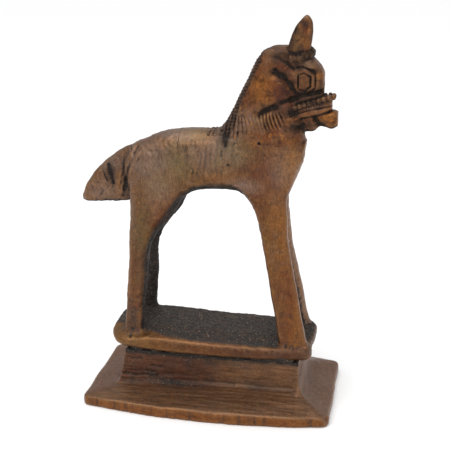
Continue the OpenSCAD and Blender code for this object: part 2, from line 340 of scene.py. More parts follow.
def ear(g, side):
    rows = EAR
    if side > 0:
        rows = [(z - 0.3, x0 - 0.3, x1 - 0.6, half) for z, x0, x1, half in EAR]
    body = loft_up(g, rows, 2.3, side * EAR_Y)
    # The cupped outer face, with its raised front edge
    away = side * g.out - EAR_Y
    middle = 32.2 + (g.z - 146) * 0.16
    hollow = bell(g.x - middle, 1.7) * ramp(g.z, 142.5, 145.5) * (1 - ramp(g.z, 152, 156))
    return body + 0.4 * hollow * ramp(away, -0.5, 0.8)


def forelock(g):
    """A lumpy roll that wraps round the front of the ears"""
    d = None
    for i, degrees in enumerate(range(-104, 105, 26)):
        a = math.radians(degrees)
        middle = (31.0 + 4.9 * math.cos(a), 5.2 * math.sin(a), 140.6 + 2.2 * math.cos(a))
        size = 1.75 + 0.15 * math.sin(i * 2.4)
        ball = ellipsoid(g, middle, (size, size, size * 1.1))
        d = ball if d is None else join(d, ball, 1.3)
    d = d + 0.3 * noise(g, 0.9, 32)
    return d + 0.10 * np.sin((g.x * 0.8 + g.z * 0.6 + 0.5 * np.sin(g.z * 1.7)) * 2 * math.pi / 1.25)


def bead_places():
    """Middles of the beads that run round the muzzle, in millimetres from the horse's middle"""
    pitch = 1.9
    places = []
    steps = np.cumsum([0] + [math.dist(a, b) for a, b in zip(BEAD_LINE, BEAD_LINE[1:])])
    for at in np.arange(0, steps[-1] + 0.01, pitch):
        x, z = [float(np.interp(at, steps, column)) for column in zip(*BEAD_LINE)]
        y = 4.75 - 1.5 * max(0, x - 42.5) / 2.5
        places += [(x, -y, z), (x, y, z)]
    front = 45.2
    places += [(front, -1.5, 126.4), (front, 0.4, 126.5), (front, 2.2, 126.4)]
    return places


def bridle(g):
    """The row of beads round the muzzle"""
    bead_r = 0.98
    d = None
    for x, y, z in bead_places():
        ball = ellipsoid(g, (x, y, z), (bead_r, bead_r, bead_r))
        d = ball if d is None else np.minimum(d, ball)
    return d


# x, and the heights of the plate's underside and top there
PLATE = [
    (-43.2, 25, 27), (-42.4, 23.9, 27.9), (-40.6, 23, 28.6), (-37, 22.5, 29),
    (-30, 22.5, 29), (0, 22.6, 28.2), (30, 22.6, 27.4), (41.2, 22.8, 27.1),
]


def round_corner(a, b, corner):
    """What two fields share, with a corner of this radius"""
    a, b = a + corner, b + corner
    return np.hypot(np.maximum(a, 0), np.maximum(b, 0)) + np.minimum(np.maximum(a, b), 0) - corner


def rounded_plan(g, mid, half, corner):
    """Distance to a level rectangle with round corners"""
    return round_corner(np.abs(g.x - mid[0]) - half[0], np.abs(g.y - mid[1]) - half[1], corner)


def rubbed_from(x):
    """How far out from the middle the worn slope along the plate's near edge begins"""
    return 7.4 + 0.42 * (x + 34)


def plate(g):
    """The slab under the hooves: a rounded outline, with a blunt nose at the rear"""
    low, high = curve(PLATE, g.x)
    # The near edge bows out and sags along the middle
    near = ramp(-g.out, 3, 15) * (1 - np.clip((g.x + 1) / 42, -1, 1) ** 2)
    sag, bow = 1.3 * near, 1.6 * near
    corner = 4.5 + 5 * ramp(-g.x, 22, 38)
    plan = rounded_plan(g, (-1.1, HORSE_Y), (42.1, 15.4), corner) - bow
    # A broad worn slope at the near rear corner, which runs out towards the horse's front
    slope = (g.z - 29) + 0.38 * (-g.out - rubbed_from(g.x))
    body = round_corner(plan, between(g.z + sag, low, high), 1.5)
    return meet(body, slope, 2)


BASE_HALF = (50.4, 25.8)
BASE_EDGE, BASE_TOP, BLOCK_FOOT, BLOCK_TOP, PLATE_FOOT = 4.7, 8.6, 8.5, 21, 22.6
BLOCK_HALF = (36.5, 14.5)


def rim_top(x):
    """Height of the base's upright edge, which is tallest in the middle"""
    return BASE_EDGE - 0.9 * (x / BASE_HALF[0]) ** 2


def slope_top(x):
    """Height at which the slopes meet the block: lower at the horse's rear"""
    return 7.2 + 1.1 * x / BASE_HALF[0]


def base(g):
    """The flared foot: an upright edge that bows out in front and behind, and four long slopes"""
    t = g.x / BASE_HALF[0]
    bow = 5.4 * (1 - t * t)
    edge = rim_top(g.x)
    rise = slope_top(g.x) - edge
    along, across = np.abs(g.x + 0.4) - BASE_HALF[0], np.abs(g.y) - BASE_HALF[1] - bow
    d = round_corner(along, across, 2.6)
    feet = (BLOCK_HALF[0] + 1.5, BLOCK_HALF[1] + 0.7)
    for out, half, inner in zip((along, across), BASE_HALF, feet):
        run = half - inner
        plane = (out * rise + (g.z - edge) * run) / np.hypot(rise, run)
        d = meet(d, plane, 0.8)
    # A chip in the near front corner
    d = cut(d, ellipsoid(g, (50.4, -27.7, 4.2), (2.4, 2.4, 3.43)), 0.8)
    bottom = -g.z + 0.3 * t**4
    return meet(np.maximum(d, g.z - BASE_TOP), bottom, 0.4)


def block(g):
    """The upright block, a little narrower at the top of its rear end"""
    up = (g.z - BLOCK_FOOT) / (BLOCK_TOP - BLOCK_FOOT)
    rear, front = -BLOCK_HALF[0] - 1.1 + 2.0 * up, BLOCK_HALF[0]
    half_y = BLOCK_HALF[1] - 0.6 * up + 0.9 * (1 - up) * ramp(-g.x, 0, 36)
    plan = np.maximum(between(g.x, rear, front), np.abs(g.y) - half_y)
    return round_corner(plan, between(g.z, 4, BLOCK_TOP), 0.7)


def bedding(g):
    """The setting compound squeezed between block and plate, with a crumbly edge"""
    plan = rounded_plan(g, (0, 0), (BLOCK_HALF[0] - 2.2, BLOCK_HALF[1] - 0.9), 2)
    plan = plan + 0.9 * noise(g, 2.2, 51) + 0.4 * noise(g, 0.8, 52)
    return np.maximum(plan, between(g.z, BLOCK_TOP - 0.3, PLATE_FOOT + 0.3))


# How each mass is made, and its fillet where it meets those before it: they are joined in this order
MASSES = {
    "torso": (lambda g: loft_along(g, TORSO), 0),
    "neck": (lambda g: loft_up(g, NECK, 2.4), 3.5),
    "hindleg_right": (lambda g: leg(g, HINDLEG, -1, 0, 1.8), 4.5),
    "hindleg_left": (lambda g: leg(g, HINDLEG, 1, HINDLEG_STAGGER), 4.5),
    "foreleg_right": (lambda g: leg(g, FORELEG, -1), 4.5),
    "foreleg_left": (lambda g: leg(g, FORELEG, 1, FORELEG_STAGGER), 4.5),
    "tail": (lambda g: loft_along(g, TAIL, 3), 1.2),
    "head": (lambda g: join(loft_up(g, SKULL, 2.8), loft_along(g, MUZZLE, 3), 0.8), 1.2),
    "lower_jaw": (lambda g: loft_along(g, JAW, 3.6), 0.8),
    "forelock": (forelock, 0.5),
    "ear_right": (lambda g: ear(g, -1), 0.7),
    "ear_left": (lambda g: ear(g, 1), 0.7),
    "bridle_band": (bridle, 0.3),
    "plinth_plate": (plate, 2.6),
    "flared_base": (base, 0),
    "pedestal_block": (block, 0),
}
HORSE, PEDESTAL = list(MASSES)[:-2], list(MASSES)[-2:]


def masses_in(g, names):
    """Those of the named masses that come near the grid"""
    margin = 4
    return {name: MASSES[name][0](g) for name in names if g.reaches(*PIECES[name][:2], margin)}


def joined(masses):
    d = None
    for name, mass in masses.items():
        d = mass if d is None else join(d, mass, MASSES[name][1])
    return d


# ---- the engraver's work

def groove(g, line, width, depth):
    """A cut along a line seen from the side; width and depth run from the line's start to its end"""
    away, along, _ = track(g, line)
    t = along / sum(math.dist(a, b) for a, b in zip(line, line[1:]))
    return (depth[0] + (depth[1] - depth[0]) * t) * bell(away, width[0] + (width[1] - width[0]) * t)


def grooves(g, rows):
    """Several lines of groove(), which stand proud where their depth is below 0"""
    return sum(groove(g, *row) for row in rows)


def pits(g, rows):
    """Round dents; a row is x, z, radius and depth"""
    return sum(depth * bell(np.hypot(g.x - x, g.z - z), radius) for x, z, radius, depth in rows)


def polygon(g, corners):
    """Signed distance to a closed outline seen from the side"""
    away, _, _ = track(g, corners + corners[:1])
    inside = np.full(away.shape, True)
    for (ax, az), (bx, bz) in zip(corners, corners[1:] + corners[:1]):
        inside &= (bx - ax) * (g.z - az) - (bz - az) * (g.x - ax) < 0
    return np.where(inside, -away, away)


# The eye's outline, clockwise from its rear top corner
EYE = [(32.1, 135.2), (34.3, 136), (36.7, 134.6), (36.7, 130.9), (34.6, 128.9), (32.1, 129.7)]


def eye_cuts(g):
    """Nested outlines round a raised eye"""
    away = polygon(g, EYE)
    upright = 1 - 0.55 * ramp(np.abs(g.z - 132.5), 2, 3)
    inner = 0.7 * upright * bell(away, 0.32)
    outer = 0.65 * bell(away - 1.8, 0.32) * ramp(g.x, 34.5, 37)
    lid = -0.25 * bell(away - 0.9, 0.4) * ramp(g.x, 31, 36.5)
    ball = -0.4 * ramp(-away, 0.2, 1.8)
    return inner + outer + lid + ball


def head_cuts(g):
    """Face, mouth and jowl, cut into both sides of the head"""
    mouth = [(17.2, 119.6), (21.7, 121.9), (24.8, 124.1), (29.8, 125.8), (34.2, 127.5), (42.2, 129)]
    lip = [(27.6, 118.6), (31.5, 120), (35.9, 121.5), (40, 122.4), (44.6, 123.4)]
    brow = [(31.6, 138), (34, 138.2), (37.2, 137), (38.9, 135.6)]
    lines = grooves(g, (
        ([(23.6, 136.2), (26.6, 134.2), (29, 131.6), (31.4, 128)], (1.9, 0.7), (1.5, 0.5)),
        (mouth, (1.5, 1), (1.5, 1)),
        (lip, (0.45, 0.45), (0.4, 0.7)),
        ([(29.5, 117.4), (34, 118.2)], (0.5, 0.4), (0.2, 0.1)),
        ([(38.8, 118), (40.4, 116.2), (42.6, 114.9)], (1.1, 0.7), (1.2, 0.7)),
        (brow, (0.4, 0.45), (0.4, 0.6)),
        ([(33, 139.9), (36.4, 139.4), (39.4, 137.4)], (0.9, 0.9), (-0.4, -0.5)),
        ([(24, 141.2), (27.6, 139.6), (30.4, 137.4)], (0.8, 0.6), (0.3, 0.6)),
    ))
    dents = pits(g, (
        (32.9, 115.1, 0.8, 0.8), (35.8, 113.6, 0.6, 0.6), (34.4, 116.2, 0.5, 0.5),
        (37.8, 137, 0.7, 0.5), (31.2, 136.9, 0.8, -0.5),
    ))
    away, along, side = track(g, lip)
    teeth = 0.28 * (0.5 + 0.5 * np.cos(along * 2 * math.pi / 1.05))
    teeth = teeth * ramp(side, 0.2, 0.6) * (1 - ramp(side, 1.3, 1.8)) * (1 - ramp(away, 1.8, 2.4))
    return lines + dents + teeth + eye_cuts(g)


def collar_cuts(g):
    """Short strokes that fan round the foot of the neck"""
    lean = 0.22 - 0.44 * ramp(g.x, 4, 13) - 0.3 * ramp(g.x, 17, 25)
    u = g.x - lean * (g.z - 115)
    low = 109.0 + 0.24 * np.maximum(g.x - 8, 0)
    high = 119.6 + 0.16 * np.maximum(g.x - 14, 0)
    inside = ramp(g.z - low, 0, 3.5) * ramp(high - g.z, -0.6, 1.6) * ramp(g.x, 1, 4) * ramp(-g.x, -29, -26)
    strength = 0.34 - 0.16 * bell(g.x - 16, 4) + 0.14 * ramp(g.x, 18, 22)
    stroke = 0.5 + 0.5 * np.sin(u * 2 * math.pi / 1.55 + 0.9 * np.sin(g.z * 0.55 + g.x * 0.3))
    return 1.25 * strength * stroke**2.5 * inside


def mane_strokes(g):
    """Slanting hair strokes down the crest, which wrap over it"""
    away, along, _ = track(g, NAPE)
    stroke = 0.5 + 0.5 * np.sin((along - 0.75 * away) * 2 * math.pi / 1.55)
    width = mane_width(along)
    strip = ramp(width - away, -0.2, 0.6)
    return 0.27 * stroke**1.5 * strip - 0.08 * strip


def mane_width(along):
    """Breadth of the mane's strip: wider where it spreads over the withers"""
    return 3.2 + 2.8 * ramp(-along, -16, -6) - 2.0 * ramp(along, 33, 38)


def torso_cuts(g):
    """Pits and chisel marks on the flank"""
    hem = [(-14.2, 108), (-10.6, 108.9), (-7.2, 108.6), (-3, 109.7), (0.4, 109.4), (4, 110.5)]
    d = grooves(g, (
        ([(4.4, 113.2), (5.1, 107.2)], (2, 0.5), (0.8, 0.5)),
        ([(9.4, 112.4), (9, 109.6)], (0.6, 0.4), (0.4, 0.3)),
        ([(-13.9, 108.4), (-13.8, 100.6)], (0.5, 0.5), (0.16, 0.08)),
        (hem, (0.6, 0.6), (0.16, 0.10)),
        ([(-11.8, 107.4), (-6, 107.8), (0.6, 108.4)], (0.9, 0.9), (-0.14, -0.18)),
    ))
    ring = np.hypot((g.x + 8.1) / 0.75, (g.z - 97.1) / 1.15)
    d = d + 0.3 * bell(ring - 1, 0.4)
    d = d + pits(g, (
        (18.1, 108.9, 0.55, 0.9), (6.4, 100.2, 0.5, 0.7), (17.2, 102.6, 0.4, 0.4), (21.6, 105.2, 0.3, 0.3),
        (12.8, 98.4, 0.35, 0.3), (25, 104.8, 0.35, 0.35), (23.4, 101.4, 0.3, 0.3), (9.6, 104, 0.3, 0.3),
    ))
    for x, z, height in ((-9.2, 105.6, 1), (-5.1, 96.7, 0.9), (4.7, 105.6, 0.6), (-3, 103, 0.9)):
        d = d - groove(g, [(x, z - height), (x + 0.1, z + height)], (0.35, 0.3), (0.35, 0.3))
    belly = [(-17.6, 83.2), (-13.8, 87), (-8, 90.4), (-2.2, 92.2), (3, 92.8), (8.4, 92)]
    return d - groove(g, belly, (0.9, 0.9), (0.25, 0.25))


def tail_cuts(g):
    """The join of tail and rump, hair lines along it and pits in the tail's side"""
    d = grooves(g, (
        ([(-30.8, 104.4), (-34.7, 95.3), (-37.9, 83.4)], (0.8, 0.9), (0.7, 1)),
        ([(-34.8, 101.4), (-37.4, 94), (-39.2, 86.5)], (0.4, 0.4), (0.25, 0.4)),
        ([(-28.6, 102.8), (-32.4, 95.4), (-34.6, 87)], (0.4, 0.3), (0.35, 0.2)),
        ([(-43.8, 96), (-42.6, 92.3), (-41.7, 88.6)], (0.9, 0.6), (1.1, 0.7)),
        ([(-46.4, 93.8), (-44.4, 89.4)], (0.6, 0.4), (0.7, 0.4)),
        ([(-36.6, 105.4), (-33.4, 103.2)], (0.5, 0.5), (0.5, 0.5)),
        ([(-49, 89.6), (-46.6, 85.4)], (0.4, 0.4), (0.3, 0.3)),
    ))
    hair = 0.5 + 0.5 * np.sin((g.x * 0.77 - g.z * 0.64) * 2 * math.pi / 1.5 + 1.3 * np.sin(g.z * 0.4))
    return d + 0.07 * hair * ramp(-g.x, 34, 37)


def horse_cuts(g):
    """Everything cut into the horse: sunk where positive, raised where negative"""
    flank = np.abs(g.out)
    total = np.zeros(g.shape, np.float32)
    if g.reaches((17, -9, 110), (50, 12, 146), 0):
        uneven = 0.95 + 0.14 * noise(g, 1.1, 31)
        total += head_cuts(g) * uneven * ramp(flank, 1.2, 3) * ramp(g.z, 111, 113) * ramp(g.x, 15, 19)
    if g.reaches((1, -12, 108), (30, 15, 123), 0):
        total += collar_cuts(g) * ramp(flank, 2, 4)
    if g.reaches((-3, -9, 108), (24, 12, 148), 0):
        total += mane_strokes(g) * ramp(g.z, 109.5, 112)
    if g.reaches((-20, -12, 80), (30, 15, 114), 0):
        total += torso_cuts(g) * ramp(flank, 3, 6) * ramp(-g.z, -115, -113)
    if g.reaches((-58, -8, 78), (-26, 11, 108), 0):
        uneven = 0.9 + 0.5 * noise(g, 1.3, 33)
        total += tail_cuts(g) * uneven * ramp(flank, 0.6, 2.4) * ramp(g.z, 78, 80)
    return total


def horse_relief(g):
    """Unevenness of the casting: broad facets, file marks and grain"""
    flank = np.abs(g.out)
    total = 0.26 * noise(g, 4.5, 11) + 0.12 * noise(g, 1.5, 12)
    if g.reaches((-38, -12, 84), (36, 15, 114), 0):
        cloth = ramp(g.x, -15, -12) * ramp(-g.x, -12, -6) * ramp(g.z, 91, 96) * ramp(-g.z, -110, -108)
        total += 0.24 * noise(g, 0.55, 13, (1, 6, 5)) * cloth * ramp(flank, 4, 7)
    if g.z[0, 0, 0] < 92:
        inner = ramp(-flank, -10.5, -8.5)
        total += 0.16 * noise(g, 0.8, 15) * inner
    if g.reaches((-38, -15, 24), (-26, 18, 50), 0):
        nicks = ramp(-g.z, -52, -38) * ramp(-g.x, 26, 28) * ramp(g.z, 27, 30)
        total += 0.6 * np.maximum(noise(g, 0.6, 16, (1.6, 2, 1.1)) - 0.3, 0) * nicks
    if g.z[0, 0, 0] < 31:
        top = ramp(-g.z, -31, -29.5) * ramp(g.z, 26.4, 27.2)
        total += 0.12 * noise(g, 0.75, 17) * top
    return total


def plate_cuts(g):
    """Punched dots along the plate's near edge, marks by the fore hoof and a slot by the hind one"""
    near = ramp(-g.out, 12.5, 14)
    total = np.zeros((len(g.axes[0]), 1, len(g.axes[2])), np.float32)
    for i, x in enumerate(np.arange(-16.0, 28, 1.55)):
        drift = 0.4 * math.sin(i * 2.3)
        size = 0.40 + 0.14 * math.sin(i * 3.1)
        total = total + pits(g, [(x + drift, 25.2 + 0.4 * math.sin(i * 1.7), size, 0.7 * size)])
    for i, x in enumerate(np.arange(31.0, 37.2, 1.5)):
        lean = 0.5 * math.sin(i * 2.6)
        mark = [(x, 26.9 + 0.3 * lean), (x + lean, 27.9 - 0.4 * lean)]
        total = total + groove(g, mark, (0.3, 0.25), (0.25, 0.3))
    slot = ramp(0.45 - np.abs(g.x + 33.5), -0.15, 0.15)
    total = total + 0.9 * slot * ramp(0.9 - np.abs(g.z - 26.8), -0.15, 0.15)
    return total * near


def pedestal_cuts(g):
    """File marks along the base and cracks along the block"""
    out_x = (np.abs(g.x) - BLOCK_HALF[0]) / (BASE_HALF[0] - BLOCK_HALF[0])
    out_y = (np.abs(g.y) - BLOCK_HALF[1]) / (BASE_HALF[1] - BLOCK_HALF[1])
    ends = ramp(out_x - out_y, -0.05, 0.05)
    total = 0.16 * noise(g, 5, 21)
    total += 0.11 * noise(g, 0.55, 22, (10, 1, 1)) * (1 - ends)
    total += 0.08 * noise(g, 0.6, 23, (1.5, 9, 1)) * ends
    rim = ramp(rim_top(g.x) - g.z, 0, 0.6)
    total += rim * 0.12 * noise(g, 0.45, 24, (1.3, 1.3, 9))
    wall = ramp(g.z - slope_top(g.x), 0, 1.2)
    rough = ramp(-g.x, -6, 14)
    cracks = np.maximum(noise(g, 0.75, 25, (4.5, 2, 1)) - 0.3, 0)
    total += wall * (cracks * (0.08 + 0.3 * rough) + 0.14 * noise(g, 1.6, 28, (2, 1, 1)) * rough)
    for line, width, depth in (
        ([(-34.6, 17.4), (-32, 17), (-28.4, 17.5)], 0.5, 0.45), ([(-24.4, 14.6), (-19.6, 14)], 0.5, 0.4),
        ([(-35.4, 10.4), (-31.4, 9.9), (-26, 10.6)], 0.6, 0.5), ([(-27, 12.2), (-23, 11.8)], 0.5, 0.4),
        ([(-2, 9.6), (6, 9.8), (10, 9.5)], 0.45, 0.3), ([(14, 16.6), (21, 16.2)], 0.4, 0.15),
    ):
        total += groove(g, line, (width, width), (depth, depth)) * wall
    return total


# ---- total fields and pieces

def horse(g):
    masses = masses_in(g, HORSE)
    d = joined(masses) + horse_cuts(g) + horse_relief(g)
    if "plinth_plate" in masses:
        d = d + plate_cuts(g)
    return d, masses


def pedestal(g):
    masses = masses_in(g, PEDESTAL)
    # The block's foot runs out into a cove at the horse's front end, and is crisp elsewhere
    cove = 1.8 + 3.7 * ramp(g.x, 33, 37)
    if len(masses) == 2:
        d = join(masses["flared_base"], masses["pedestal_block"], cove)
    else:
        d = list(masses.values())[0]
    return np.maximum(d + pedestal_cuts(g), -g.z), masses


# Depth of the small pieces that are let into the horse's skin
TRIM_DEPTH = 1.3


def eye_patch(g, side):
    away = np.maximum(polygon(g, EYE), -side * g.out + 1)
    return away - 0.1


def mane_patch(g):
    away, along, _ = track(g, NAPE)
    flat = np.maximum(away - mane_width(along), 110.2 - g.z)
    return np.maximum(flat, np.abs(g.out) - 20)


def collar_patch(g):
    low = 111.6 + 0.16 * (g.x - 4)
    high = 118.6 + 0.02 * (g.x - 4)
    return np.maximum(between(g.z, low, high), -mane_patch(g) + OVERLAP)


def cloth_patch(g):
    return np.maximum(between(g.x, -13.8, 4.6), 99 - 0.12 * (g.x + 14) - g.z)


def bridle_patch(g):
    """A strap on the cheek just behind the beads, and the beads themselves"""
    line = [(26.6, 121.2), (31, 122.6), (35.2, 124.2), (38.9, 125.4), (42.6, 126.5), (47, 127)]
    away, _, _ = track(g, line)
    return away - 1.15


PATCHES = {
    "eye_right": lambda g: eye_patch(g, -1),
    "eye_left": lambda g: eye_patch(g, 1),
    "mane": mane_patch,
    "neck_collar": collar_patch,
    "saddle_cloth": cloth_patch,
    "bridle_band": bridle_patch,
}
# The patches that are let into each core piece
HOSTS = {
    "torso": ["saddle_cloth"],
    "neck": ["mane", "neck_collar"],
    "head": ["eye_right", "eye_left", "bridle_band"],
}

# Box and pitch of each piece's grid, in millimetres
PIECES = {
    "flared_base": ((-53, -33, -1), (52, 33, 10), 0.45),
    "pedestal_block": ((-41, -18.5, 3.5), (40, 18.5, 22), 0.37),
    "bedding_layer": ((-37, -16, 20), (37, 16, 24), 0.3),
    "plinth_plate": ((-45, -18, 20), (43, 19, 31), 0.34),
    "hindleg_right": ((-40, -16, 22), (-5, 5, 100), 0.3),
    "hindleg_left": ((-40, -2, 22), (-5, 19, 100), 0.3),
    "foreleg_right": ((8, -16, 22), (44, 5, 101), 0.3),
    "foreleg_left": ((6, -2, 22), (44, 19, 101), 0.3),
    "torso": ((-39, -12, 78), (37, 15, 116), 0.32),
    "saddle_cloth": ((-16, -12, 94), (7, 15, 115), 0.26),
    "tail": ((-58, -6, 78), (-28, 9, 107), 0.26),
    "neck": ((-1, -10, 102), (38, 13, 148), 0.26),
    "neck_collar": ((-1, -10, 109), (38, 13, 121), 0.22),
    "mane": ((-3, -10, 108), (24, 13, 148), 0.22),
    "head": ((20, -8, 114), (50, 11, 148), 0.2),
    "lower_jaw": ((29, -5, 110), (50, 8, 124), 0.2),
    "bridle_band": ((23, -8, 117), (48, 11, 130), 0.16),
    "eye_right": ((30, -8, 126), (40, 3, 138), 0.14),
    "eye_left": ((30, 1, 126), (40, 11, 138), 0.14),
    "ear_right": ((25, -6, 138), (40, 2, 159), 0.18),
    "ear_left": ((25, 1, 138), (40, 8, 159), 0.18),
    "forelock": ((25, -8, 136), (40, 11, 148), 0.18),
}


def own_part(total, masses, name):
    """The part of the total field that belongs to one of its masses"""
    others = [v for k, v in masses.items() if k != name]
    if not others:
        return total
    return np.maximum(total, (masses[name] - np.minimum.reduce(others)) / 2 - OVERLAP)


def piece_field(g, name):
    if name == "bedding_layer":
        return bedding(g), None
    total, masses = pedestal(g) if name in PEDESTAL else horse(g)
    host = next((h for h, patches in HOSTS.items() if name in patches), None)
    if host:
        inner = -(total + TRIM_DEPTH)
        return np.maximum(np.maximum(total, inner), PATCHES[name](g)), total
    masses.pop("bridle_band", None)
    field = own_part(total, masses, name)
    for patch in HOSTS.get(name, []):
        pocket = np.maximum(PATCHES[patch](g), -(total + TRIM_DEPTH)) + OVERLAP
        field = np.maximum(field, -pocket)
    return field, total


# ---- meshing

def mesh_object(name, g, field):
    """A closed mesh of the field's zero surface, in metres"""
    band = 4 * g.pitch
    field = np.clip(field, -band, band).astype(np.float32)
    for axis in range(3):
        for end in (0, -1):
            index = [slice(None)] * 3
            index[axis] = end
            field[tuple(index)] = band
    grid = openvdb.FloatGrid(float(band))
    grid.copyFromArray(np.ascontiguousarray(field))
    points, quads = grid.convertToQuads(0.0)
    points = (points + g.first) * g.pitch
    points, quads = without_crumbs(points, quads)
    mesh = bpy.data.meshes.new(name)
    mesh.vertices.add(len(points))
    mesh.vertices.foreach_set("co", (points * MM).astype(np.float32).ravel())
    mesh.loops.add(quads.size)
    mesh.loops.foreach_set("vertex_index", quads.astype(np.int32).ravel())
    mesh.polygons.add(len(quads))
    mesh.polygons.foreach_set("loop_start", np.arange(len(quads), dtype=np.int32) * 4)
    mesh.update(calc_edges=True)
    mesh.validate()
    mesh.shade_smooth()
    obj = bpy.data.objects.new(name, mesh)
    bpy.context.collection.objects.link(obj)
    return obj, points


def without_crumbs(points, quads, least=200):
    """Drops crumbs: shells of fewer than the least number of points"""
    group = np.arange(len(points))
    while True:
        low = group[quads].min(axis=1)
        new = group.copy()
        np.minimum.at(new, quads.ravel(), np.repeat(low, 4))
        new = new[new]
        if np.array_equal(new, group):
            break
        group = new
    size = np.bincount(group, minlength=len(points))
    keep = size[group] >= least
    index = np.cumsum(keep) - 1
    return points[keep], index[quads[keep[quads[:, 0]]]]


# ---- patina and painted shade

# For each tone: middle x and z, reach in x and z, and strength of soft zones seen from either side
ZONES = {
    "gold": [
        (20, 130, 7, 10, 1), (33, 149, 3, 5, 0.7), (44.5, 119, 4.5, 3.5, 1.2), (41, 135, 2.2, 4, 0.9),
        (34.5, 132.5, 2, 3, 0.9), (35, 119, 6, 1.6, 0.8), (-9, 112, 9, 3, 0.9), (31, 98, 6, 12, 0.9),
        (28, 75, 7, 20, 0.6), (34, 40, 5, 25, 0.6), (-46, 88, 9, 5, 0.4), (-38.5, 89, 2, 6, 0.9),
        (-20, 88, 8, 8, 0.6), (44, 126, 4, 2, 0.5), (29.4, 141.6, 2.4, 1.6, 0.9), (2, 95, 6, 2.5, 0.6),
    ],
    "red": [
        (27.4, 128.4, 5.5, 5.5, 1.3), (27.5, 138, 4, 2.5, 0.9), (34.6, 152.4, 1.8, 2.4, 1),
        (16, 137, 4, 4, 0.6), (12, 124, 4, 5, 0.5), (20, 97, 9, 10, 0.7), (32, 45, 4, 22, 0.5),
        (-24, 112, 8, 4, 0.5), (-18, 78, 5, 12, 0.7), (33, 118.5, 3, 2, 0.5), (24, 112, 6, 5, 0.5),
        (-30, 60, 3, 12, 0.5),
    ],
    "pale": [
        (-47, 86, 9, 6, 0.8), (-25, 100, 10, 9, 0.9), (-33, 80, 2, 12, 0.8), (6, 115, 7, 6, 1.3),
        (-17, 110.5, 14, 2.5, 0.9), (-1, 104, 11, 6, 0.8), (12, 92, 8, 3, 0.8), (27, 99, 6, 9, 0.5),
        (-22, 88, 7, 7, 0.7), (-45, 98, 9, 5, 0.9), (-34, 62, 1.2, 18, 0.8), (12, 118, 6, 4.4, 1.2),
        (38.5, 123.2, 5, 1.2, 0.5), (36.6, 139.4, 2.4, 2, 0.9),
    ],
    "olive": [
        (-14, 100, 8, 9, 0.9), (6, 105, 9, 6, 0.9), (-8, 111, 7, 3, 0.8), (18, 118, 5, 3, 0.5),
        (-29, 72, 4, 14, 0.7), (31, 147, 2, 5, 0.6), (-21, 92, 6, 7, 0.7),
    ],
    # Dark zones; those along the ears' rims are painted shade
    "dark": [
        (26, 142.4, 7, 3.2, 0.68), (36, 128.4, 7, 2, 0.85), (32.5, 140.4, 4, 2.6, 0.6),
        (28.6, 138.8, 3.2, 2.4, 0.6), (26.4, 135, 2.6, 2.4, 0.9), (29.8, 131.4, 2, 2.4, 0.8),
        (6, 116, 3.4, 4.4, 0.3), (33, 115, 4, 2.5, 0.9), (40.6, 116.2, 2.4, 1.4, 0.9),
        (4.6, 110.5, 2.6, 4, 0.8), (-42.8, 92.8, 2.2, 4.4, 0.9), (-33, 33, 3, 8, 0.5),
        (40.4, 130, 2, 4, 0.4), (30.4, 120.9, 3.4, 1.9, 0.9), (37, 125, 8, 2, 0.72),
        (31, 129.4, 2, 2.4, 0.6), (23, 122.6, 5, 1.6, 0.8), (29.6, 125.8, 4.5, 1.5, 0.8),
        (31.2, 138.2, 3, 1.6, 0.7), (28.8, 148, 1.8, 5, 0.8), (30.2, 152, 1.7, 3, 0.8),
        (-36.6, 88, 1.8, 7, 0.7), (20.5, 108.6, 1.6, 0.8, 0.5), (38, 136.6, 2.4, 1.4, 0.7),
        (28, 128.8, 4.2, 3.6, 0.55), (34.4, 132.5, 3.6, 4.6, 0.35), (31.8, 155.2, 2.2, 1.6, 0.8),
        (37, 151, 1.1, 5, 0.6), (33, 143, 4, 1.6, 0.6), (-29, 58, 3, 22, 0.22), (18, 143, 3, 4, 0.4),
        (20, 137, 3.4, 3, 0.25),
    ],
}
TONES = tuple(ZONES)
# The least dark that some pieces, darker all over than the rest, can be
LEAST_DARK = {"mane": 0.62, "forelock": 0.6, "bridle_band": 0.3}


def zone_masks(points):
    masks = {tone: np.zeros(len(points), np.float32) for tone in TONES}
    for tone, zones in ZONES.items():
        for x, z, reach_x, reach_z, strength in zones:
            q = ((points[:, 0] - x) / reach_x) ** 2 + ((points[:, 2] - z) / reach_z) ** 2
            masks[tone] = np.maximum(masks[tone], strength * np.exp(-q))
    return masks


# The whole statue on a coarse grid, for the painted shade of closed-in places
coarse = Grid((-62, -36, -8), (58, 38, 164), 1.2)
statue = np.minimum(joined(masses_in(coarse, HORSE)), pedestal(coarse)[0])


def shelter(points, normals):
    """How closed in each point is: 0 in the open, about 1 in a narrow gap"""
    total = 0
    for reach, weight in ((1.5, 0.3), (3, 0.3), (6, 0.25), (12, 0.15)):
        clear = coarse.sample(statue, points + normals * reach)
        total = total + weight * np.clip(1 - clear / reach, 0, 1)
    return total


# How far round a point creases and arrises are looked for, at the two scales
FINE, BROAD = 0.55, 1.3


def hollow_and_edge(g, field, points):
    """Creases and arrises, from how much metal lies round each point"""
    near = np.clip(field, -2, 2)
    fine = g.sample(blurred(near, max(1, round(FINE / g.pitch))) - near, points)
    broad = g.sample(blurred(near, max(2, round(BROAD / g.pitch))) - near, points)
    hollow = np.clip(-fine / 0.24, 0, 1) * 0.65 + np.clip(-broad / 0.45, 0, 1) * 0.45
    edge = np.clip((fine - 0.03) / 0.22, 0, 1) * 0.5 + np.clip((broad - 0.12) / 0.5, 0, 1) * 0.35
    return np.clip(hollow, 0, 1), np.clip(edge, 0, 1)


def set_attribute(mesh, name, values):
    layer = mesh.attributes.new(name, "FLOAT", "POINT")
    layer.data.foreach_set("value", values.astype(np.float32))


def arch_shade(rows, points, facing, kept):
    """Painted shade on the face of a leg that looks into the arch; a strip of the kept width stays bright
    outside
    """
    reach = np.abs(points[:, 1] - HORSE_Y)
    span = curve(rows, points[:, 2])[2] - kept
    return ramp(facing, 0.3, 0.7) * ramp(span - reach, -0.8, 0.8) * ramp(-points[:, 2], -90, -84)


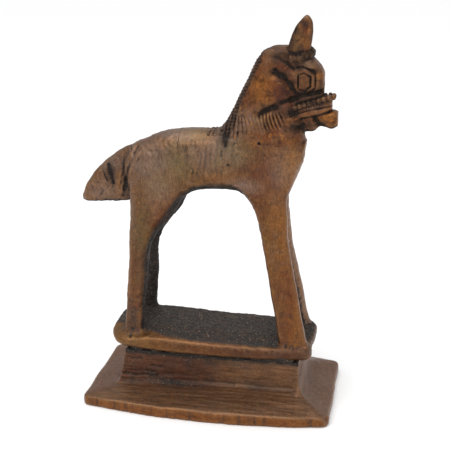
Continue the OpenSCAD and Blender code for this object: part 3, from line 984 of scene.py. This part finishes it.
def horse_masks(name, points, normals):
    """The zones, and painted shade on the faces between the legs, under the belly and in the arch"""
    masks = zone_masks(points)
    out, z, forward = points[:, 1] - HORSE_Y, points[:, 2], normals[:, 0]
    # Painted shade on faces turned in between the legs and on faces turned down under the belly
    inner = ramp(-normals[:, 1] * np.sign(out), 0.15, 0.6) * ramp(-z, -96, -86)
    if name.startswith("foreleg"):
        inner = inner * (1 - ramp(forward, 0.25, 0.65))
    under = ramp(-normals[:, 2], 0.3, 0.8) * ramp(-np.abs(out), -9.5, -7.5) * ramp(z, 60, 82)
    shaded = [inner, under]
    if name.startswith("hindleg"):
        shaded.append(arch_shade(HINDLEG, points, forward, 2))
    if name.startswith("foreleg"):
        shaded.append(arch_shade(FORELEG, points, -forward, 3.2))
    for shade in shaded:
        masks["dark"] = np.maximum(masks["dark"], 0.9 * shade)
    masks["dark"] = np.maximum(masks["dark"], LEAST_DARK.get(name, 0))
    if name == "foreleg_left":
        masks["pale"] = np.maximum(masks["pale"], 0.8)
    return masks


def pedestal_masks(g, points, normals):
    """Side slopes are greyer, the upright edge redder, the block's rear half darker, and the top of the
    block's wall gets a painted shadow under the plate
    """
    x, _, z = points.T
    ends = ramp(np.abs(normals[:, 0]) - np.abs(normals[:, 1]), -0.1, 0.1)
    faces = 1 - ends
    rim = ramp(rim_top(x) - z, 0, 0.5)
    wall = ramp(z - slope_top(x), -0.3, 1)
    slope = (1 - wall) * (1 - rim)
    front_end, rear_half = ends * ramp(x, -1, 1), ramp(-x, -12, 8)
    ticks = np.clip(g.sample(noise(g, 0.45, 24, (1.3, 1.3, 9)), points) - 0.25, 0, 1)
    stain = np.clip(g.sample(noise(g, 2.2, 27, (2.2, 1, 1)), points), -1, 1)
    return {
        "gold": wall * faces * np.clip(0.45 * (1 - rear_half) + 0.45 * stain, 0, 1)
        + 0.8 * rim * faces + 0.5 * front_end * wall,
        "red": 0.35 * rim * faces + wall * faces * 0.55 * rear_half + 0.18 * slope * faces + 0.3 * ends,
        "pale": ends * (0.45 + 0.45 * front_end) * (1 - rim * 0.5) + 0.35 * wall * faces * (1 - rear_half)
        + 0.3 * slope * faces,
        "olive": 0.35 * slope * faces + 0.2 * wall * faces * (1 - rear_half),
        "dark": faces * (
            wall * (0.16 + 0.24 * rear_half + 0.3 * np.clip(-stain, 0, 1) * (0.4 + 0.6 * rear_half))
            # The band at the top of the wall is a painted shadow under the plate
            + 0.75 * ramp(z, 18.8, 20.6) * wall + 0.04 * slope
        ) + 0.75 * ticks * rim,
    }


def plate_masks(points, normals):
    """The top is black and grainy; the near edge is rubbed bright, most of all at the rear; faces turned
    down get painted shade
    """
    x, y, _ = points.T
    top = ramp(normals[:, 2], 0.6, 0.93)
    out = HORSE_Y - y
    kept = ramp(np.minimum(rubbed_from(x) + 0.6, 14.6) - out, -0.7, 0.7)
    kept = kept * (1 - ramp(x, 26, 30) * ramp(out, 4, 9))
    # Faces turned down get painted shade
    under = ramp(-normals[:, 2], 0.5, 0.9)
    return {
        "gold": 0.35 * ramp(-x, 8, 30) * (1 - kept) + 0.2,
        "red": 0.5 * ramp(x, -20, 20) * (1 - top),
        "pale": 0.5 * ramp(normals[:, 0], 0.4, 0.9),
        "olive": 0.4 * ramp(-x, 16, 34) * (1 - kept),
        "dark": 0.8 * top * kept + 0.8 * under
        + (0.2 * ramp(x, -8, 16) + 0.1 * ramp(x, 20, 30)) * (1 - top),
    }


# Share of the creases' dirt and of the painted shade of closed-in places that stays on the pedestal
PEDESTAL_DIRT_AND_SHADE = 0.55


def weather(obj, name, g, total, points):
    """Where the patina is dark, where shade is painted dark, where rubbing has bared the metal and how the
    alloy is tinted
    """
    mesh = obj.data
    normals = np.zeros(len(points) * 3, np.float32)
    mesh.vertex_normals.foreach_get("vector", normals)
    normals = normals.reshape(-1, 3)
    hollow, edge = hollow_and_edge(g, total, points)
    closed = shelter(points, normals)
    if name in PEDESTAL:
        masks = pedestal_masks(g, points, normals)
    elif name == "plinth_plate":
        masks = plate_masks(points, normals)
    else:
        masks = horse_masks(name, points, normals)
    dirt_and_shade = PEDESTAL_DIRT_AND_SHADE if name in PEDESTAL else 1
    # Dark: the masks, dirt in creases, and painted shade where metal closes in round a point
    dark = np.clip(masks["dark"] + dirt_and_shade * (0.85 * hollow + 0.9 * np.clip(closed - 0.35, 0, 1)), 0, 1.3)
    set_attribute(mesh, "dark", dark)
    set_attribute(mesh, "worn", edge * (1 - 0.5 * np.clip(dark, 0, 1)))
    for tone in TONES[:-1]:
        set_attribute(mesh, tone, np.clip(masks[tone], 0, 1))


# ---- materials

def srgb(red, green, blue):
    """Linear colour, for a socket, of a colour as it looks on a screen"""
    values = [v / 255 for v in (red, green, blue)]
    return [v / 12.92 if v <= 0.04045 else ((v + 0.055) / 1.055) ** 2.4 for v in values] + [1]


class Tree:
    """A material's nodes, with short ways to add them"""

    def __init__(self, name):
        self.material = bpy.data.materials.new(name)
        self.material.use_nodes = True
        self.tree = self.material.node_tree
        self.shader = self.tree.nodes["Principled BSDF"]
        self.place = self.node("ShaderNodeTexCoord").outputs["Object"]

    def node(self, kind, inputs=None, **settings):
        made = self.tree.nodes.new(kind)
        for key, value in settings.items():
            setattr(made, key, value)
        for key, value in (inputs or {}).items():
            self.plug(made.inputs[key], value)
        return made

    def plug(self, socket, value):
        if isinstance(value, bpy.types.NodeSocket):
            self.tree.links.new(value, socket)
        else:
            socket.default_value = value

    def mask(self, name):
        return self.node("ShaderNodeAttribute", attribute_name=name).outputs["Fac"]

    def maths(self, operation, *values, clamp=False):
        made = self.node("ShaderNodeMath", operation=operation, use_clamp=clamp)
        for i, value in enumerate(values):
            self.plug(made.inputs[i], value)
        return made.outputs[0]

    def noise(self, size, detail=3, stretch=(1, 1, 1), rough=0.55):
        """Noise with patches of about this many millimetres"""
        scaled = self.node("ShaderNodeMapping", {"Vector": self.place, "Scale": [1 / s for s in stretch]})
        return self.node("ShaderNodeTexNoise", {
            "Vector": scaled.outputs[0], "Scale": 1 / (size * MM), "Detail": detail, "Roughness": rough,
        }).outputs["Fac"]

    def span(self, value, low, high, to_low=0.0, to_high=1.0):
        return self.node("ShaderNodeMapRange", {
            "Value": value, "From Min": low, "From Max": high, "To Min": to_low, "To Max": to_high,
        }, clamp=True).outputs[0]

    def mix(self, factor, first, second, blend="MIX"):
        made = self.node("ShaderNodeMix", data_type="RGBA", blend_type=blend)
        self.plug(made.inputs[0], factor)
        self.plug(made.inputs[6], first)
        self.plug(made.inputs[7], second)
        return made.outputs[2]

    def finish(self, colour, height, strength, distance):
        """Puts colour and bump in; the bump's distance is in millimetres"""
        self.plug(self.shader.inputs["Base Color"], colour)
        bump = self.node("ShaderNodeBump", {
            "Height": height, "Strength": strength, "Distance": distance * MM,
        })
        self.plug(self.shader.inputs["Normal"], bump.outputs[0])
        return self.material

    def blotch(self, mask, noise, strength=1.0, sway=0.7):
        """A soft mask whose edge the noise breaks up"""
        pushed = self.maths("MULTIPLY_ADD", noise, sway * 2, -sway)
        moved = self.maths("MULTIPLY_ADD", pushed, mask, mask)
        return self.maths("MULTIPLY", moved, strength, clamp=True)


BROWN, UMBER = srgb(104, 66, 38), srgb(84, 52, 32)
GOLD, RED = srgb(132, 85, 38), srgb(90, 38, 16)
PALE, OLIVE = srgb(122, 98, 84), srgb(102, 84, 50)
# BARE is rubbed metal; BLACK and the soot colour carry dark patina and painted shade
BARE, BLACK, SOOT_AND_SHADE = srgb(146, 108, 74), srgb(22, 17, 16), srgb(48, 39, 34)
# The bright gold flecks are painted glints
SPOT, GLINT_FLECK, CRUMB = srgb(52, 30, 18), srgb(158, 104, 48), srgb(138, 124, 104)


def alloy_colour(t, large, middle, mottled, spot):
    """Brown with stains, the tones of the zones, dark spots and bright flecks that are painted glints"""
    colour = t.mix(t.span(large, 0.38, 0.62), BROWN, UMBER)
    for size, paint, strength in ((6.0, RED, 0.5), (4.2, PALE, 0.45), (5.1, OLIVE, 0.45), (3.1, GOLD, 0.5)):
        stain = t.noise(size, 5, rough=0.65)
        colour = t.mix(t.span(stain, 0.52, 0.68, 0.0, strength), colour, paint)
    tones = (("gold", GOLD, middle), ("red", RED, large), ("olive", OLIVE, middle), ("pale", PALE, large))
    for tone, paint, noise in tones:
        colour = t.mix(t.blotch(t.mask(tone), noise, 0.85), colour, paint)
    spots, flecks = t.noise(spot, 4), t.noise(spot * 0.6, 3)
    colour = t.mix(t.span(spots, 0.48, 0.66, 0.0, mottled), colour, SPOT)
    # Bright gold flecks: painted glints
    return t.mix(t.span(flecks, 0.56, 0.70, 0.0, mottled * 0.8), colour, GLINT_FLECK)


def bronze(name, grain, specks, mottled, spot, tint, sheen):
    """Old brown bronze: grain stretches its scratches, specks are pale crumbs, mottled darkens spots"""
    t = Tree(name)
    large, middle, small = t.noise(9, 4), t.noise(2.6, 4), t.noise(0.7, 5, rough=0.65)
    lines = t.noise(0.55, 4, grain, 0.6)
    colour = alloy_colour(t, large, middle, mottled, spot)
    colour = t.mix(1.0, colour, (*tint, 1), "MULTIPLY")
    colour = t.mix(1.0, colour, t.span(small, 0.3, 0.7, 0.70, 1.26), "MULTIPLY")
    colour = t.mix(1.0, colour, t.span(lines, 0.35, 0.65, 0.78, 1.18), "MULTIPLY")
    worn = t.blotch(t.mask("worn"), small, 0.65)
    colour = t.mix(worn, colour, BARE)
    # The dark mask takes dark patina, crease dirt and painted shade towards black
    dark = t.blotch(t.mask("dark"), middle, 1.15, 0.6)
    colour = t.mix(dark, colour, t.mix(t.span(small, 0.35, 0.65), BLACK, SOOT_AND_SHADE))
    grains = t.span(t.noise(0.6, 3), 0.60, 0.68)
    crumbs = t.maths("MULTIPLY", grains, t.span(dark, 0.3, 0.8, 0.0, specks))
    colour = t.mix(crumbs, colour, CRUMB)
    t.plug(t.shader.inputs["Metallic"], t.span(dark, 0.0, 0.9, 0.72, 0.25))
    t.plug(t.shader.inputs["Specular IOR Level"], t.span(dark, 0.2, 0.9, 0.5, sheen))
    rough = t.maths("ADD", t.span(dark, 0, 1, 0.40, 0.66), t.span(small, 0.3, 0.7, -0.06, 0.08))
    t.plug(t.shader.inputs["Roughness"], t.maths("SUBTRACT", rough, t.maths("MULTIPLY", worn, 0.10)))
    height = t.maths("ADD", t.maths("MULTIPLY", small, 0.6), t.maths("MULTIPLY", lines, 0.5))
    height = t.maths("ADD", height, t.maths("MULTIPLY", t.noise(0.28, 2), 0.35))
    return t.finish(colour, height, 0.55, 0.22)


def bedding_material():
    """Black setting compound with pale grains of sand in it"""
    t = Tree("bedding_compound")
    large, small = t.noise(1.6, 4), t.noise(0.5, 3)
    colour = t.mix(t.span(large, 0.35, 0.65), srgb(28, 22, 20), srgb(62, 48, 38))
    colour = t.mix(t.span(small, 0.66, 0.70), colour, srgb(150, 140, 126))
    t.shader.inputs["Roughness"].default_value = 0.85
    return t.finish(colour, small, 0.8, 0.3)


def pin_material():
    """Drawn rod: fine turning lines round a plain brown pin"""
    t = Tree("pin_rod")
    rings, patches = t.noise(0.3, 2, (8, 8, 1)), t.noise(1.5, 3)
    colour = t.mix(t.span(patches, 0.35, 0.65), srgb(96, 66, 46), srgb(60, 48, 42))
    t.shader.inputs["Metallic"].default_value = 0.8
    t.plug(t.shader.inputs["Roughness"], t.span(patches, 0.3, 0.7, 0.35, 0.55))
    return t.finish(colour, rings, 0.4, 0.1)


# Grain, specks, mottling, size of its spots in millimetres, tint, and sheen of the dark parts
BRONZES = {
    "pedestal_bronze": ((9, 1, 1), 0.5, 0.3, 1.6, (1.08, 1.02, 0.95), 0.3),
    "plate_bronze": ((2, 1, 1), 0.9, 0.3, 1.6, (0.94, 0.92, 0.88), 0.5),
    "body_bronze": ((1, 1, 4), 0.2, 0.2, 2.4, (1.12, 1.17, 1.18), 0.2),
    "leg_bronze": ((1, 1, 6), 0.6, 0.28, 2.0, (1.12, 1.12, 1.08), 0.45),
    "head_bronze": ((1, 1, 3), 0.2, 0.8, 3.0, (1.10, 1.00, 0.88), 0.08),
}
LOOKS = {slot: bronze(slot + "_look", *numbers) for slot, numbers in BRONZES.items()}
LOOKS["bedding"] = bedding_material()


# ---- making the pieces

SLOTS = {s["node"]: s["material_slot"] for s in frame["record"]["subparts"]}
for node, (low, high, pitch) in PIECES.items():
    grid = Grid(low, high, pitch)
    field, total = piece_field(grid, node)
    piece, points = mesh_object(node + "_cast", grid, field)
    if total is not None:
        weather(piece, node, grid, total, points)
    piece.data.materials.append(LOOKS[SLOTS[node]])
    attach(piece, "root")
    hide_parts(node)

pins = bpy.data.objects["fixing_pins"]
pins_look = pin_material()
for slot in pins.material_slots:
    slot.material = pins_look


# ---- stage and light

def make_floor():
    mesh = bpy.data.meshes.new("floor")
    reach = 10
    corners = [(-reach, -reach, 0), (reach, -reach, 0), (reach, reach, 0), (-reach, reach, 0)]
    mesh.from_pydata(corners, [], [(0, 1, 2, 3)])
    floor = bpy.data.objects.new("floor", mesh)
    bpy.context.collection.objects.link(floor)
    paper = bpy.data.materials.new("floor_paper")
    paper.use_nodes = True
    shader = paper.node_tree.nodes["Principled BSDF"]
    shader.inputs["Base Color"].default_value = (0.95, 0.95, 0.95, 1)
    shader.inputs["Roughness"].default_value = 0.9
    shader.inputs["Specular IOR Level"].default_value = 0.0
    mesh.materials.append(paper)


def area(name, where, size, power):
    data = bpy.data.lights.new(name, "AREA")
    data.shape, data.size, data.energy = "SQUARE", size, power
    obj = bpy.data.objects.new(name, data)
    obj.location = where
    obj.rotation_euler = (Vector((0, 0, 0.08)) - Vector(where)).to_track_quat("-Z", "Y").to_euler()
    bpy.context.collection.objects.link(obj)


def make_light():
    world = bpy.data.worlds.new("world")
    bpy.context.scene.world = world
    world.use_nodes = True
    background = world.node_tree.nodes["Background"]
    background.inputs["Color"].default_value = (1, 1, 1, 1)
    background.inputs["Strength"].default_value = 0.62
    sun = bpy.data.lights.new("sun", "SUN")
    sun.energy, sun.angle = 1.5, math.radians(60)
    obj = bpy.data.objects.new("sun", sun)
    obj.rotation_euler = (math.radians(28), math.radians(-12), 0)
    bpy.context.collection.objects.link(obj)
    area("overhead", (-0.10, 0.15, 0.75), 0.5, 1.3)
    area("front", (0.25, -0.8, 0.45), 0.5, 1)
    bpy.context.scene.view_settings.view_transform = "Standard"


make_floor()
make_light()
